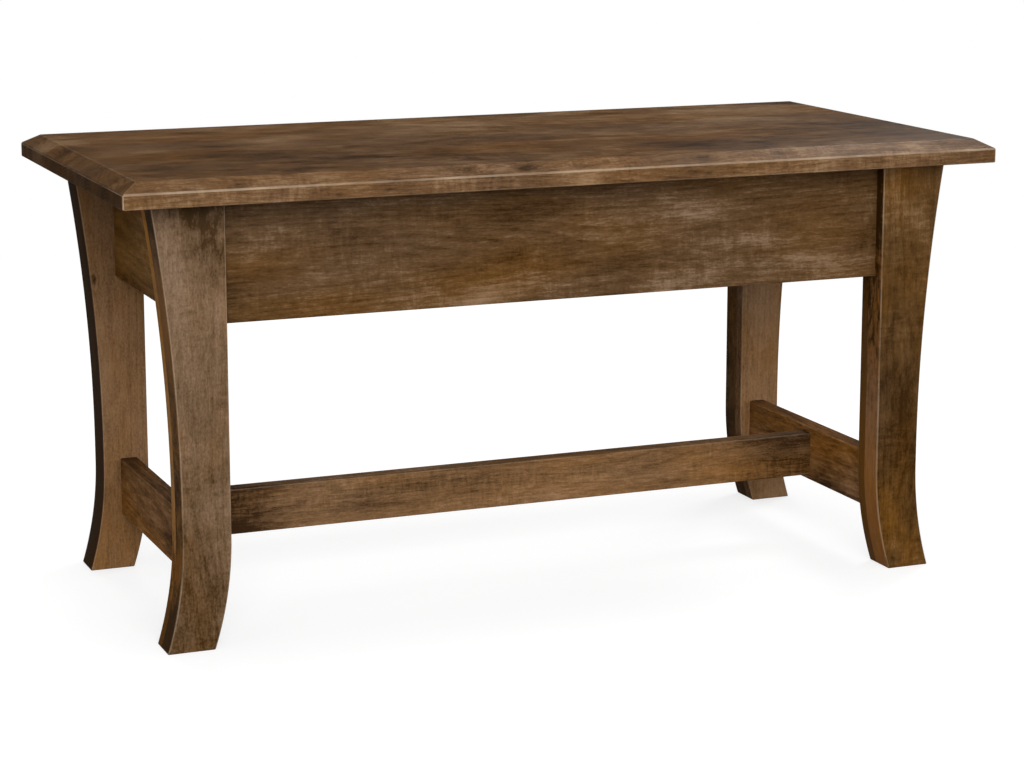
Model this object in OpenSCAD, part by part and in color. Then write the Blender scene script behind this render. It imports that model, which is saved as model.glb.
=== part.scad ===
// Bed bench: a solid-wood seat on four flared legs, with deep aprons and an H-shaped stretcher.
// All sizes are in millimetres. The origin is on the floor under the middle of the seat:
// +X runs along the bench to its right end, -Y faces the front and +Z is up.

/* [Overall] */
// Length of the seat, end to end
bench_length = 914; // [860:1:1100]
// Depth of the seat, front to back
bench_depth = 432; // [400:1:500]
// Height of the seat's upper face above the floor
bench_height = 457; // [430:1:500]

/* [Seat] */
// Thickness of the seat slab
seat_thickness = 24; // [20:0.5:34]
// How far the bevel reaches in from each edge of the seat
bevel_run = 17; // [8:0.5:30]
// How far the bevel drops at the edge
bevel_drop = 9.5; // [4:0.5:14]
// Width of each of the slab's three inner boards, as a share of the bench's depth
inner_board_share = 0.21; // [0.18:0.005:0.22]

/* [Legs] */
// Overhang of the seat past the legs at the front and at the back
side_overhang = 41; // [20:1:50]
// Overhang of the seat past the tops of the legs at the ends
end_overhang = 35; // [15:1:55]
// Thickness of the leg's outer board, which faces the front or the back
leg_face_thickness = 25; // [22:0.5:32]
// Thickness of the leg's inner board, glued behind the outer one
leg_back_thickness = 14; // [10:0.5:20]
// Width of a leg where it meets the seat
leg_top_width = 72; // [64:1:90]
// Width of a leg at its waist
leg_waist_width = 48; // [44:1:60]
// Width of a leg on the floor
leg_foot_width = 47; // [40:1:56]
// How far the foot's inner edge sweeps outwards
foot_kick = 18; // [8:1:26]
// Height at which the foot begins to sweep outwards
kick_height = 110; // [80:1:125]
// Height at which the outer edge begins to flare towards the seat
flare_start = 130; // [126:1:200]

/* [Aprons] */
// Height of the four aprons
apron_height = 120; // [80:1:150]
// Thickness of the four aprons
apron_thickness = 20; // [16:0.5:22]
// How far the front and rear aprons stand back from the faces of the legs
apron_setback = 13.5; // [8:0.5:16]
// Distance from a leg's inner edge out to the end apron's outer face
end_rail_offset = 30; // [27:0.5:34]

/* [Stretchers] */
// Height of the end stretchers
end_stretcher_height = 60; // [50:1:72]
// Thickness of the end stretchers
end_stretcher_thickness = 18; // [16:0.5:20]
// Height of the end stretchers' lower edge above the floor
end_stretcher_lift = 59; // [55:1:80]
// Height of the long stretcher
long_stretcher_height = 47; // [36:1:50]
// Thickness of the long stretcher
long_stretcher_thickness = 19.5; // [14:0.5:26]
// Height of the long stretcher's lower edge above the floor
long_stretcher_lift = 65; // [62:1:70]

/* [Tenons] */
// Thickness of every tenon
tenon_thickness = 8; // [6:0.5:10]
// How far a tenon's upper and lower edges are cut back from the rail's
tenon_shoulder = 8; // [5:0.5:12]
// Length of the tenons on the front and rear aprons
apron_tenon = 13; // [8:0.5:14]
// Length of the tenons on the end aprons and the end stretchers
end_tenon = 22; // [16:0.5:26]
// Length of the long stretcher's tenons
stub_tenon = 12; // [8:0.5:14]
// Room between a tenon and each cheek of its mortise
tenon_play = 0.1; // [0.05:0.05:0.3]
// Room between the end of a tenon and the floor of its mortise
mortise_spare = 0.5; // [0.2:0.1:1.5]

/* [Corner blocks] */
// How far a corner block runs along each apron
block_reach = 70; // [62:1:90]
// Height of a corner block
block_height = 45; // [38:1:60]
// Distance of a block's level screws from its two tips
block_screw_inset = 26; // [25:0.5:30]
// Distance of a block's upright screw from the leg's inner corner, along and across
block_screw_corner = 13; // [10:0.5:16]
// Wood between a block screw's head and the piece that the screw pulls in
block_bite = 20; // [18:0.5:21]

/* [Fasteners] */
// Length of a corner block's screws under the head
block_screw_length = 32; // [30:0.5:36]
// Diameter of a corner block's screws
block_screw_d = 4.2; // [3.5:0.1:5]
// Length of the clip screws under the head
clip_screw_length = 16; // [12:0.5:18]
// Diameter of the clip screws
clip_screw_d = 4; // [3.5:0.1:4.4]
// Diameter of all the screw heads
screw_head_d = 8.2; // [7:0.1:9]
// Height of all the screw heads
screw_head_height = 2.8; // [2:0.1:3.5]
// Room around each screw in its hole
screw_play = 0.05; // [0.02:0.01:0.2]
// Distance of the long aprons' clips from the middle of the bench
clip_place = 130; // [60:1:200]
// Width of a seat clip
clip_width = 20; // [14:1:28]
// Thickness of a seat clip's steel
clip_sheet = 1.6; // [1.2:0.1:2.5]
// Length of the clip's tab under the seat
clip_tab = 22; // [18:0.5:28]
// Distance of the clip's screw from the apron
clip_screw_out = 15; // [12:0.5:16]
// Length of the clip's tongue inside its slot in the apron
clip_tongue = 8; // [5:0.5:10]
// Depth of the clip's slot below the seat
clip_drop = 11; // [8:0.5:18]

/* [Hidden] */

// The long arcs of the legs, and the small round holes and screws
leg_arc_fn = 360;
round_fn = 32;
// Cutters run this far past the faces that they open
over = 1;
// A screw's pointed tip, and the two slots of its cross recess
tip_height = 4;
recess_width = 1.1;
recess_depth = 1.4;
// Extra depth of a pilot hole past the tip of its screw
pilot_spare = 1;
// Extra room around a screw head in its counterbore, and around a clip in its slot
head_room = 0.9;
slot_room = 0.5;

left = -1;
right = 1;
front = -1;
rear = 1;

seat_under = bench_height - seat_thickness;
leg_face_y = bench_depth / 2 - side_overhang;
leg_seam_y = leg_face_y - leg_face_thickness;
leg_back_y = leg_seam_y - leg_back_thickness;
leg_inner_x = bench_length / 2 - end_overhang - leg_top_width;
apron_z = seat_under - apron_height;
apron_outer_y = leg_face_y - apron_setback;
apron_inner_y = apron_outer_y - apron_thickness;
end_rail_outer_x = leg_inner_x + end_rail_offset;
end_apron_inner_x = end_rail_outer_x - apron_thickness;
end_stretcher_inner_x = end_rail_outer_x - end_stretcher_thickness;

// Radius of an arc that leaves a straight line, runs this far along it and this far off it
function sweep_radius(along, off) = (along * along + off * off) / (2 * off);

// Edges of the seat's five boards, from the front to the back
inner_boards = 3;
board_edges = bench_depth * [
    -1 / 2, for (i = [0 : inner_boards]) (i - inner_boards / 2) * inner_board_share, 1 / 2
];

// Places of the seat clips: the clip's root on the apron's inner face, and the way it points
clip_places = [
    [-clip_place, -apron_inner_y, 0], [clip_place, -apron_inner_y, 0],
    [-clip_place, apron_inner_y, 180], [clip_place, apron_inner_y, 180],
    [-end_apron_inner_x, 0, -90], [end_apron_inner_x, 0, 90]
];

// Draws what was made for the rear right corner at any corner
module at_corner(side, end) {
    mirror([side < 0 ? 1 : 0, 0, 0])
        mirror([0, end < 0 ? 1 : 0, 0])
            children();
}

module at_every_corner() {
    for (side = [left, right], end = [front, rear])
        at_corner(side, end) children();
}

// A box given by its lowest and highest corners
module box(low, high) {
    translate(low) cube(high - low);
}

// Outline of a leg: x from its straight inner edge outwards, y up from the floor
module leg_outline() {
    kick_radius = sweep_radius(kick_height, foot_kick);
    outer_kick = foot_kick + leg_foot_width - leg_waist_width;
    outer_radius = sweep_radius(kick_height, outer_kick);
    flare = leg_top_width - leg_waist_width;
    flare_radius = sweep_radius(seat_under - flare_start, flare);
    // Upper leg, hollowed by the long arc of the flare
    difference() {
        translate([0, flare_start]) square([leg_top_width, seat_under - flare_start]);
        translate([leg_waist_width + flare_radius, flare_start])
            circle(r = flare_radius, $fn = leg_arc_fn);
    }
    // Straight waist
    translate([0, kick_height]) square([leg_waist_width, flare_start - kick_height]);
    // Foot, between the arcs of its inner and its outer edge
    difference() {
        intersection() {
            square([foot_kick + leg_foot_width, kick_height]);
            translate([kick_radius, kick_height]) circle(r = kick_radius, $fn = leg_arc_fn);
        }
        translate([leg_waist_width + outer_radius, kick_height])
            circle(r = outer_radius, $fn = leg_arc_fn);
    }
}

// The three tenons that enter a leg, grown by the play at their cheeks and by the spare at their ends
module leg_tenons(play, spare) {
    apron_mid_y = apron_outer_y - apron_thickness / 2;
    end_apron_mid_x = end_rail_outer_x - apron_thickness / 2;
    end_stretcher_mid_x = end_rail_outer_x - end_stretcher_thickness / 2;
    half = tenon_thickness / 2 + play;
    low = apron_z + tenon_shoulder - play;
    high = seat_under - tenon_shoulder + play;
    // Front or rear apron
    box([leg_inner_x - over, apron_mid_y - half, low],
        [leg_inner_x + apron_tenon + spare, apron_mid_y + half, high]);
    // End apron
    box([end_apron_mid_x - half, leg_back_y - over, low],
        [end_apron_mid_x + half, leg_back_y + end_tenon + spare, high]);
    // End stretcher
    box([end_stretcher_mid_x - half, leg_back_y - over, end_stretcher_lift + tenon_shoulder - play],
        [end_stretcher_mid_x + half, leg_back_y + end_tenon + spare,
         end_stretcher_lift + end_stretcher_height - tenon_shoulder + play]);
}

// One of a leg's two boards, from the depth where its outer face lies
module leg_board(outer_y, thickness) {
    difference() {
        translate([leg_inner_x, outer_y, 0])
            rotate([90, 0, 0]) linear_extrude(thickness) leg_outline();
        leg_tenons(tenon_play, mortise_spare);
    }
}

module leg_face_board() {
    leg_board(leg_face_y, leg_face_thickness);
}

module leg_back_board() {
    leg_board(leg_seam_y, leg_back_thickness);
}

// The seat slab before it is parted into boards: all four upper edges are bevelled
module seat_slab() {
    slope = bevel_drop / bevel_run;
    difference() {
        box([-bench_length / 2, -bench_depth / 2, seat_under],
            [bench_length / 2, bench_depth / 2, bench_height]);
        for (turn = [0 : 90 : 270]) {
            across = turn % 180 == 0 ? bench_length : bench_depth;
            along = turn % 180 == 0 ? bench_depth : bench_length;
            rotate([0, 0, turn])
                translate([across / 2, along / 2 + over, bench_height])
                    rotate([90, 0, 0])
                        linear_extrude(along + 2 * over)
                            polygon([[-bevel_run, 0], [over, -bevel_drop - over * slope],
                                     [over, over], [-bevel_run - over / slope, over]]);
        }
    }
}

// A screw along +Z whose head bears on z = 0 from below
module screw(d, length) {
    shank = length - tip_height;
    difference() {
        translate([0, 0, -screw_head_height])
            cylinder(d = screw_head_d, h = screw_head_height, $fn = round_fn);
        for (turn = [0, 90])
            rotate([0, 0, turn])
                box([-screw_head_d / 4, -recess_width / 2, -screw_head_height - over],
                    [screw_head_d / 4, recess_width / 2, -screw_head_height + recess_depth]);
    }
    cylinder(d = d, h = shank, $fn = round_fn);
    translate([0, 0, shank]) cylinder(d1 = d, d2 = d / 4, h = tip_height, $fn = round_fn);
}

// The hole for that screw, with a counterbore of the given depth under its head
module screw_hole(d, length, counterbore) {
    cylinder(d = d + 2 * screw_play, h = length + pilot_spare, $fn = round_fn);
    translate([0, 0, -counterbore])
        cylinder(d = screw_head_d + 2 * head_room, h = counterbore, $fn = round_fn);
}

// Puts its children at the rear right block's three screws: into the long apron, into the end
// apron and up into the seat
module at_block_screws() {
    level_z = seat_under - block_height / 2;
    translate([leg_inner_x - block_reach + block_screw_inset, apron_inner_y - block_bite, level_z])
        rotate([-90, 0, 0]) children();
    translate([end_apron_inner_x - block_bite, leg_back_y - block_reach + block_screw_inset, level_z])
        rotate([0, 90, 0]) children();
    translate([leg_inner_x - block_screw_corner, leg_back_y - block_screw_corner,
               seat_under - block_bite])
        children();
}

module block_screw_holes() {
    at_block_screws() screw_hole(block_screw_d, block_screw_length, block_height);
}

// Puts its children where each clip leaves its apron: y points away from the apron, z = 0 is the
// underside of the seat
module at_clips() {
    for (place = clip_places)
        translate([place[0], place[1], seat_under]) rotate([0, 0, place[2]]) children();
}

module at_clip_screws() {
    at_clips() translate([0, clip_screw_out, -clip_sheet]) children();
}

// Slots in the aprons that take the tongues of the clips
module clip_slots() {
    at_clips()
        box([-clip_width / 2 - slot_room, -clip_tongue - slot_room, -clip_drop - clip_sheet - slot_room],
            [clip_width / 2 + slot_room, over, -clip_drop]);
}

// One board of the seat, with the pilot holes of the screws that come up into it
module seat_board(i) {
    difference() {
        intersection() {
            seat_slab();
            box([-bench_length / 2 - over, board_edges[i], seat_under - over],
                [bench_length / 2 + over, board_edges[i + 1], bench_height + over]);
        }
        at_clip_screws() screw_hole(clip_screw_d, clip_screw_length, screw_head_height);
        at_every_corner() block_screw_holes();
    }
}

// The front or rear apron with its tenons, made for the rear
module long_apron() {
    mid_y = apron_outer_y - apron_thickness / 2;
    difference() {
        union() {
            box([-leg_inner_x, apron_inner_y, apron_z], [leg_inner_x, apron_outer_y, seat_under]);
            box([-leg_inner_x - apron_tenon, mid_y - tenon_thickness / 2, apron_z + tenon_shoulder],
                [leg_inner_x + apron_tenon, mid_y + tenon_thickness / 2, seat_under - tenon_shoulder]);
        }
        clip_slots();
        at_every_corner() block_screw_holes();
    }
}

// An end rail with a tenon at each end, made for the right end
module end_rail(inner_x, low_z, high_z) {
    mid_x = (inner_x + end_rail_outer_x) / 2;
    box([inner_x, -leg_back_y, low_z], [end_rail_outer_x, leg_back_y, high_z]);
    box([mid_x - tenon_thickness / 2, -leg_back_y - end_tenon, low_z + tenon_shoulder],
        [mid_x + tenon_thickness / 2, leg_back_y + end_tenon, high_z - tenon_shoulder]);
}

module end_apron() {
    difference() {
        end_rail(end_apron_inner_x, apron_z, seat_under);
        clip_slots();
        at_every_corner() block_screw_holes();
    }
}

// The long stretcher's stub tenons and body, grown by the play and the spare where it is a cutter
module long_stretcher_tenons(play, spare) {
    reach = end_stretcher_inner_x + stub_tenon + spare;
    box([-reach, -tenon_thickness / 2 - play, long_stretcher_lift + tenon_shoulder - play],
        [reach, tenon_thickness / 2 + play,
         long_stretcher_lift + long_stretcher_height - tenon_shoulder + play]);
}

module end_stretcher() {
    difference() {
        end_rail(end_stretcher_inner_x, end_stretcher_lift, end_stretcher_lift + end_stretcher_height);
        long_stretcher_tenons(tenon_play, mortise_spare);
    }
}

// A block glued and screwed into the corner of two aprons, notched round the leg, made for the
// rear right corner
module corner_block() {
    difference() {
        translate([0, 0, seat_under - block_height])
            linear_extrude(block_height)
                polygon([[leg_inner_x - block_reach, apron_inner_y],
                         [end_apron_inner_x, leg_back_y - block_reach],
                         [end_apron_inner_x, leg_back_y],
                         [leg_inner_x, leg_back_y],
                         [leg_inner_x, apron_inner_y]]);
        block_screw_holes();
    }
}

module seat_clip() {
    difference() {
        union() {
            // Tab under the seat
            box([-clip_width / 2, 0, -clip_sheet], [clip_width / 2, clip_tab, 0]);
            // Riser against the apron
            box([-clip_width / 2, 0, -clip_drop - clip_sheet], [clip_width / 2, clip_sheet, 0]);
            // Tongue in the apron's slot
            box([-clip_width / 2, -clip_tongue, -clip_drop - clip_sheet],
                [clip_width / 2, clip_sheet, -clip_drop]);
        }
        translate([0, clip_screw_out, -clip_sheet - over])
            cylinder(d = clip_screw_d + 2 * screw_play, h = clip_sheet + 2 * over, $fn = round_fn);
    }
}

// The parts in their finish: a warm brown stain, a little darker on the rails
module stained() {
    color("#6e543b") children();
}

module stained_dark() {
    color("#5b4229") children();
}

module bare_wood() {
    color("#c9a678") children();
}

module zinc() {
    color("#b4b4ae") children();
}

module seat_board_1() { stained() seat_board(0); }
module seat_board_2() { stained() seat_board(1); }
module seat_board_3() { stained() seat_board(2); }
module seat_board_4() { stained() seat_board(3); }
module seat_board_5() { stained() seat_board(4); }
module leg_front_left_face() { stained() at_corner(left, front) leg_face_board(); }
module leg_front_left_back() { stained_dark() at_corner(left, front) leg_back_board(); }
module leg_front_right_face() { stained() at_corner(right, front) leg_face_board(); }
module leg_front_right_back() { stained_dark() at_corner(right, front) leg_back_board(); }
module leg_rear_left_face() { stained() at_corner(left, rear) leg_face_board(); }
module leg_rear_left_back() { stained_dark() at_corner(left, rear) leg_back_board(); }
module leg_rear_right_face() { stained() at_corner(right, rear) leg_face_board(); }
module leg_rear_right_back() { stained_dark() at_corner(right, rear) leg_back_board(); }
module apron_front() { stained_dark() at_corner(right, front) long_apron(); }
module apron_rear() { stained_dark() long_apron(); }
module apron_left() { stained_dark() at_corner(left, rear) end_apron(); }
module apron_right() { stained_dark() end_apron(); }
module stretcher_left() { stained_dark() at_corner(left, rear) end_stretcher(); }
module stretcher_right() { stained_dark() end_stretcher(); }

module stretcher_long() {
    stained_dark() {
        box([-end_stretcher_inner_x, -long_stretcher_thickness / 2, long_stretcher_lift],
            [end_stretcher_inner_x, long_stretcher_thickness / 2,
             long_stretcher_lift + long_stretcher_height]);
        long_stretcher_tenons(0, 0);
    }
}

module corner_block_front_left() { bare_wood() at_corner(left, front) corner_block(); }
module corner_block_front_right() { bare_wood() at_corner(right, front) corner_block(); }
module corner_block_rear_left() { bare_wood() at_corner(left, rear) corner_block(); }
module corner_block_rear_right() { bare_wood() at_corner(right, rear) corner_block(); }

module block_screws() {
    zinc() at_every_corner() at_block_screws() screw(block_screw_d, block_screw_length);
}

module seat_clips() {
    zinc() at_clips() seat_clip();
}

module clip_screws() {
    zinc() at_clip_screws() screw(clip_screw_d, clip_screw_length);
}

seat_board_1();
seat_board_2();
seat_board_3();
seat_board_4();
seat_board_5();
leg_front_left_face();
leg_front_left_back();
leg_front_right_face();
leg_front_right_back();
leg_rear_left_face();
leg_rear_left_back();
leg_rear_right_face();
leg_rear_right_back();
apron_front();
apron_rear();
apron_left();
apron_right();
stretcher_left();
stretcher_right();
stretcher_long();
corner_block_front_left();
corner_block_front_right();
corner_block_rear_left();
corner_block_rear_right();
block_screws();
seat_clips();
clip_screws();
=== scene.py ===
# %% [markdown]
# # A stained maple bench for the foot of a bed
# The bench is 914 mm long: a bevelled seat on four flared legs, deep aprons under the seat, and
# an H-shaped stretcher. The CAD model gives every board its place and its size, and this script
# gives the boards the look of the real ones. It starts by loading that model as a fixed frame,
# so that nothing has to be fitted by eye.

import math

import bmesh
import bpy
from mathutils import Euler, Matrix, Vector


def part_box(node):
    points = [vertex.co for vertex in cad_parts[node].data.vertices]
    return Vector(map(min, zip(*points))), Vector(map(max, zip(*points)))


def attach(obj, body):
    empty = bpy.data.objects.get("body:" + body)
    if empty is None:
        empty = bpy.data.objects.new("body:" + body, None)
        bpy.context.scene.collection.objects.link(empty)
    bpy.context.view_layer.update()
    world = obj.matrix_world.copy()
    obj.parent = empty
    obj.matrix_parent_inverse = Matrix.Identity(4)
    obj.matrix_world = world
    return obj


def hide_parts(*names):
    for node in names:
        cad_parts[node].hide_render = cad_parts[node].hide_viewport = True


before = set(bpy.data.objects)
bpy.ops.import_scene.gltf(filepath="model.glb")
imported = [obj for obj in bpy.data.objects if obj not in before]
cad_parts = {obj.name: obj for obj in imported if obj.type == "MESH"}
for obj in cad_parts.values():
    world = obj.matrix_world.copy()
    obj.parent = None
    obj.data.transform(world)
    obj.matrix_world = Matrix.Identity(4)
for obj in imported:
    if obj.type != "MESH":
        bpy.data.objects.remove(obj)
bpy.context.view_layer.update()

# %% [markdown]
# ## The camera
# The photograph looks at the bench's front from a little to the left and from above, with a long
# lens, so the far end is hardly smaller than the near one. A camera can be aimed with a
# constraint, but a fixed place and a fixed direction are easier to compare with a photograph.
# The slight downward shift keeps the uprights close to upright, as they are in the photograph.

# %% Set the camera
def new_object(name, data):
    thing = bpy.data.objects.new(name, data)
    bpy.context.scene.collection.objects.link(thing)
    return thing


def aim(thing, spot, forward):
    """Puts a camera or a lamp at a spot and turns it to look forward."""
    thing.location = spot
    thing.rotation_mode = "QUATERNION"
    thing.rotation_quaternion = forward.to_track_quat("-Z", "Y")


camera_data = bpy.data.cameras.new("camera")
camera_data.sensor_width = 36.0
camera_data.lens = 92.9
camera_data.shift_y = -0.06
camera = new_object("camera", camera_data)
aim(camera, (-1.0239, -2.5215, 0.7764), Vector((0.37246, 0.90919, -0.18613)))
bpy.context.scene.camera = camera
print("The camera stands", round(camera.location.length, 2), "m from the bench's middle")

# %% [markdown]
# ## Laying nodes
# Shader trees and geometry trees are built from the same three moves: add a node, give its
# inputs a number or a link, and take an output. Clicking them together in the editor works too,
# but a few small helpers keep each tree short enough to read here from top to bottom. An output
# is taken as a term, so that a sum is written as a sum, and its signs lay the Math nodes.

# %% An output as a term
class Term:
    """A node's output in a sum: each sign lays one Math node, or Vector Math for vectors."""

    def __init__(self, socket):
        self.socket = socket
        self.tree = socket.id_data

    def __add__(self, other):
        return calc("ADD", self, other)

    def __sub__(self, other):
        return calc("SUBTRACT", self, other)

    def __rsub__(self, other):
        return calc("SUBTRACT", other, self)

    def __mul__(self, other):
        return calc("MULTIPLY", self, other)

    def __truediv__(self, other):
        return calc("DIVIDE", self, other)

    def __rtruediv__(self, other):
        return calc("DIVIDE", other, self)

    def __pow__(self, other):
        return calc("POWER", self, other)

    def __neg__(self):
        return self * -1.0

    def __abs__(self):
        return calc("ABSOLUTE", self)


# %% Lay a node and fill its inputs
class Laid:
    """A laid node, which gives its outputs as terms, by name or by number."""

    def __init__(self, node):
        self.node = node

    def __getitem__(self, key):
        return Term(self.node.outputs[key])


def fill(inputs, values):
    """Gives inputs their numbers or links, by name or by number. A list is several links."""
    for key, value in values.items():
        for one in value if isinstance(value, list) else [value]:
            if isinstance(one, Term):
                one.tree.links.new(one.socket, inputs[key])
            else:
                inputs[key].default_value = one


def lay(tree, kind, inputs=None, **settings):
    """Adds a node, sets its settings, and fills its inputs."""
    made = tree.nodes.new(kind)
    for name, value in settings.items():
        setattr(made, name, value)
    fill(made.inputs, inputs or {})
    return Laid(made)


# %% Sums and vectors
def calc(operation, *terms):
    """The result of one Math node, or of one Vector Math node if there is a vector in it."""
    linked = [term for term in terms if isinstance(term, Term)]
    has_vector = any(term.socket.type in ("VECTOR", "RGBA") for term in linked)
    kind = "ShaderNodeVectorMath" if has_vector else "ShaderNodeMath"
    made = lay(linked[0].tree, kind, dict(enumerate(terms)), operation=operation)
    gives_vector = has_vector and operation not in ("LENGTH", "DOT_PRODUCT")
    return made["Vector" if gives_vector else "Value"]


def clamped(term):
    """The same sum, kept between 0 and 1 by its last node."""
    term.socket.node.use_clamp = True
    return term


def vector(x=0.0, y=0.0, z=0.0):
    """A vector of terms and numbers."""
    tree = next(part.tree for part in (x, y, z) if isinstance(part, Term))
    return lay(tree, "ShaderNodeCombineXYZ", {"X": x, "Y": y, "Z": z})[0]


def split(term):
    """The x, y and z of a vector."""
    parts = lay(term.tree, "ShaderNodeSeparateXYZ", {0: term})
    return parts["X"], parts["Y"], parts["Z"]


def ramp(term, low, high):
    """A smooth rise from 0 at the low end to 1 at the high one."""
    return lay(term.tree, "ShaderNodeMapRange", {
        "Value": term, "From Min": low, "From Max": high}, interpolation_type="SMOOTHSTEP")[0]


# %% Groups, materials and colours
def start_group(name, kind, inputs, outputs):
    """An empty node group: returns its tree, its inputs as terms, and what its output takes.
    An input is given as its first value, or as the word for its kind."""
    tree = bpy.data.node_groups.new(name, kind)
    kinds = {float: "Float", int: "Int", tuple: "Vector"}
    for label, value in inputs.items():
        word = kinds.get(type(value), value)
        made = tree.interface.new_socket(label, in_out="INPUT", socket_type="NodeSocket" + word)
        if word != value:
            made.default_value = value
    for label, word in outputs.items():
        tree.interface.new_socket(label, in_out="OUTPUT", socket_type="NodeSocket" + word)
    have = Laid(tree.nodes.new("NodeGroupInput"))
    return tree, have, tree.nodes.new("NodeGroupOutput").inputs


def new_material(name):
    """A new material: itself, its node tree, and its shader."""
    material = bpy.data.materials.new(name)
    material.use_nodes = True
    return material, material.node_tree, material.node_tree.nodes["Principled BSDF"]


def srgb(code):
    """A colour written as in a paint program, in the linear numbers that shaders use."""
    parts = [int(code[i:i + 2], 16) / 255 for i in (1, 3, 5)]
    return (*(p / 12.92 if p <= 0.04045 else ((p + 0.055) / 1.055) ** 2.4 for p in parts), 1.0)


print("Mid brown in linear numbers:", [round(c, 3) for c in srgb("#6e543b")])

# %% [markdown]
# ## Wood as a solid
# A board is cut from a tree, so its figure runs through it: lines along its length, and arcs on
# its ends. A picture wrapped round a box can't do that. Here every pattern is worked out in the
# board's own space, with x along the grain, so faces and ends agree of themselves. The patterns
# are shared groups, and each board gives them its own numbers.

# %% A helper for noise that is drawn out along the grain
def drawn_noise(place, per_metre, detail=2.0, roughness=0.5, distortion=0.0):
    """Noise with so many features to the metre along x, y and z, from -0.5 to 0.5."""
    return lay(place.tree, "ShaderNodeTexNoise", {
        "Vector": place * per_metre, "Scale": 1.0, "Detail": detail,
        "Roughness": roughness, "Distortion": distortion})[0] - 0.5


# %% Growth rings
def growth_rings():
    """Rings round the tree's heart, which wanders along the board."""
    tree, have, leave = start_group("Growth rings", "ShaderNodeTree", {
        "Place": "Vector", "Heart": (0, 0.02, 0.06), "Ring Width": 0.0035}, {"Rings": "Float"})
    place = have["Place"]
    wander = lay(tree, "ShaderNodeTexNoise", {
        "Vector": place * (1.7, 8, 8), "Scale": 1.0, "Detail": 1.5})["Color"]
    drift = (wander - (0.5, 0.5, 0.5)) * (0, 0.05, 0.05)
    radius = calc("LENGTH", (place - have["Heart"]) * (0, 1, 1) + drift)
    ripple = drawn_noise(place, (9, 60, 60)) * 0.004
    # Each ring grows slowly darker and ends at once
    within = calc("FRACT", (radius + ripple) / have["Ring Width"])
    cut = clamped((1.0 - within) * 10.0)
    fill(leave, {"Rings": within ** 3.0 * cut})
    return tree


# %% Grain lines
def grain_lines():
    """Lines along the grain, from soft bands down to pores and fibres, and flecks that are
    hardly longer than they are wide, each about -1 to 1."""
    tree, have, leave = start_group("Grain lines", "ShaderNodeTree", {
        "Place": "Vector"}, {"Lines": "Float", "Fibres": "Float", "Flecks": "Float"})
    place = have["Place"]
    bands = drawn_noise(place, (2.5, 45, 45), detail=3.0, roughness=0.6, distortion=0.3)
    lines = drawn_noise(place, (16, 330, 330), roughness=0.6)
    pores = drawn_noise(place, (70, 420, 420), detail=3.0, roughness=0.75)
    fibres = drawn_noise(place, (90, 1300, 1300), roughness=0.7)
    flecks = drawn_noise(place, (330, 480, 480), roughness=0.7)
    fine = fibres * 1.6 + pores * 2.6
    fill(leave, {"Lines": lines * 1.3 + bands * 1.1 + fine, "Fibres": fine,
                 "Flecks": flecks * 4.0})
    return tree


# %% Curly figure
def curly_figure():
    """Bars across the grain, where the fibres wave: they come and go in patches, -1 to 1."""
    tree, have, leave = start_group("Curly figure", "ShaderNodeTree", {
        "Place": "Vector", "Bar Spacing": 0.007}, {"Curl": "Float"})
    stretch = vector(1.1 / have["Bar Spacing"], 38.0, 38.0)
    bars = drawn_noise(have["Place"], stretch, detail=3.0, roughness=0.7, distortion=0.4)
    patch = ramp(drawn_noise(have["Place"], (11, 26, 26)), -0.1, 0.12)
    fill(leave, {"Curl": bars * 4.0 * patch})
    return tree


# %% [markdown]
# Maple takes stain unevenly: where the pores are open it goes dark in soft clouds, and between
# them it stays pale. Paint programs use cloud filters for this. Two noises of different size do
# the same in a shader, and a third one turns the colour from red-brown to olive-brown.

# %% Cloudy stain
def cloudy_stain():
    """How much stain the wood took, and which way its colour turned, both about -1 to 1."""
    tree, have, leave = start_group("Cloudy stain", "ShaderNodeTree", {
        "Place": "Vector", "Stretch": (1, 1, 1)}, {"Cloud": "Float", "Turn": "Float"})
    place = have["Place"] * have["Stretch"]
    wide = drawn_noise(place, (6, 11, 11), detail=3.0, distortion=0.8)
    close = drawn_noise(place, (24, 50, 50), detail=4.0, roughness=0.6)
    turn = drawn_noise(place + (3.1, 1.7, 5.3), (5, 9, 9), detail=3.0)
    fill(leave, {"Cloud": wide * 3.2 + close * 2.0, "Turn": turn * 4.0})
    return tree


# %% [markdown]
# A small knot, or an eye where the fibres swirl round a buried twig, is a round dark spot with
# the lines bent about it. A blotch of stain is the same without the bend, and a pale patch is a
# blotch that darkens by less than nothing. All could be painted, but moving the place where the
# lines are looked up bends them as the real twig did, so one group gives the bend and the spot.
# On some boards the same spots are painted shade and painted light.

# %% Grain eye
def grain_eye():
    """A swirl or blotch: how far it bends the lines, in metres, and how much it darkens."""
    tree, have, leave = start_group("Grain eye", "ShaderNodeTree", {
        "Place": "Vector", "Middle": "Vector", "Size": 0.006, "Swirl": 0.009, "Darken": 0.5,
        "Rag": 1.4}, {"Bend": "Float", "Spot": "Float"})
    far = calc("LENGTH", (have["Place"] - have["Middle"]) * (0.45, 1, 1))
    rag = drawn_noise(have["Place"], (60, 130, 130), detail=3.0) * have["Rag"]
    square = ((far + rag * have["Size"]) / have["Size"]) ** 2.0
    fill(leave, {"Bend": calc("EXPONENT", -square) * have["Swirl"],
                 "Spot": calc("EXPONENT", square * -3.0) * have["Darken"]})
    return tree
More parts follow.
